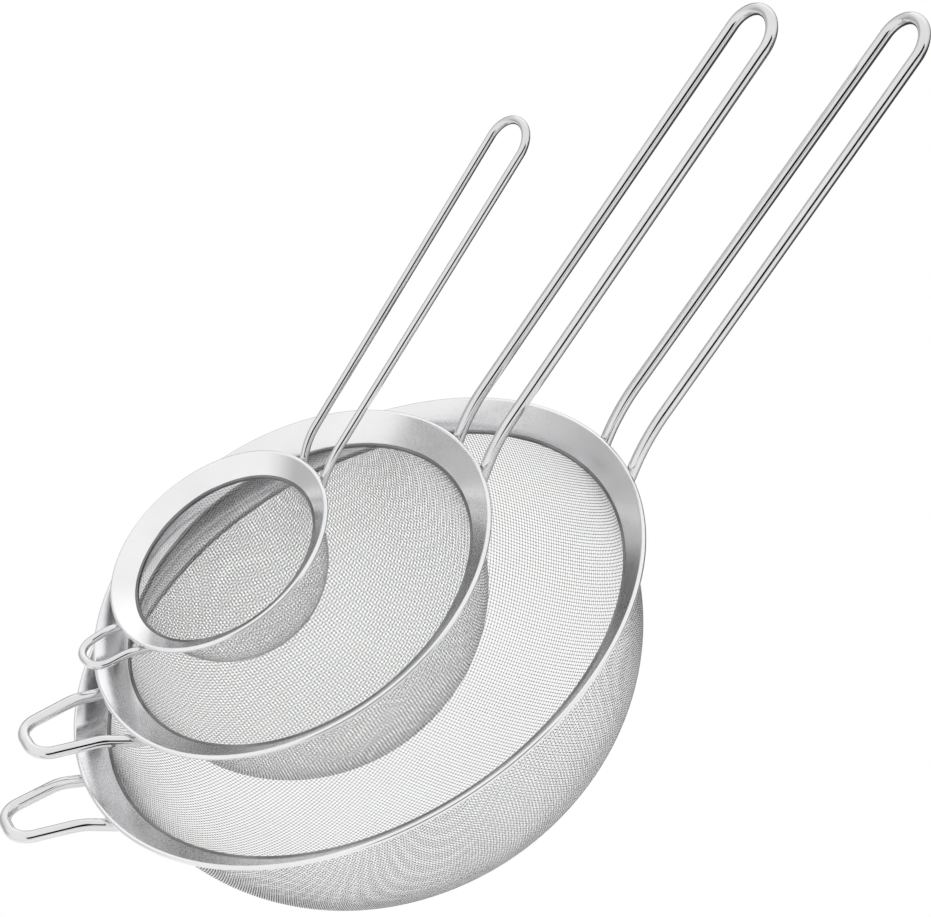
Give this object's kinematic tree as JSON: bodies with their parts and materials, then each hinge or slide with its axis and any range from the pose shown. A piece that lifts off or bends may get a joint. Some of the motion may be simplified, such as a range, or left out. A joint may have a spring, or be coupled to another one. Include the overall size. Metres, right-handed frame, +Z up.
{
  "type": "nested strainer set",
  "caption": "Set of nested round strainers with fine wire-mesh bowls, wide polished rims, long wire loop handles and short rest hooks; each lifts out of the one that holds it.",
  "frame": {"origin": "lowest point of the large bowl, on its axis, where it stands", "axes": "+X towards the large handle, +Z up, along the large bowl's axis"},
  "size_m": [0.3789, 0.2, 0.1762],
  "materials": {
    "polished_sheet": "satin-polished pressed stainless sheet",
    "core_wire": "drawn wire, hidden in the rolled edge",
    "ring_strip": "stamped stainless strip",
    "woven_cloth": "fine plain-woven stainless wire cloth",
    "polished_wire": "bright drawn and polished round wire",
    "weld_metal": "small resistance-weld bead, lightly polished"
  },
  "bodies": {
    "large_strainer": {"large_rim_band": "polished_sheet", "large_rim_core_wire": "core_wire", "large_mesh_retaining_ring": "ring_strip", "large_mesh_bowl": "woven_cloth", "large_handle_wire": "polished_wire", "large_rest_hook": "polished_wire", "large_handle_welds": "weld_metal", "large_hook_welds": "weld_metal"},
    "medium_strainer": {"medium_rim_band": "polished_sheet", "medium_rim_core_wire": "core_wire", "medium_mesh_retaining_ring": "ring_strip", "medium_mesh_bowl": "woven_cloth", "medium_handle_wire": "polished_wire", "medium_rest_hook": "polished_wire", "medium_handle_welds": "weld_metal", "medium_hook_welds": "weld_metal"},
    "small_strainer": {"small_rim_band": "polished_sheet", "small_rim_core_wire": "core_wire", "small_mesh_retaining_ring": "ring_strip", "small_mesh_bowl": "woven_cloth", "small_handle_wire": "polished_wire", "small_rest_hook": "polished_wire", "small_handle_welds": "weld_metal", "small_hook_welds": "weld_metal"}
  },
  "joints": [
    {"name": "medium_lift", "type": "slide", "parent": "large_strainer", "child": "medium_strainer", "axis": [0, 0, 1], "range_m": [0, 0.08]},
    {"name": "small_lift", "type": "slide", "parent": "medium_strainer", "child": "small_strainer", "axis": [0, 0, 1], "range_m": [0, 0.06]}
  ]
}
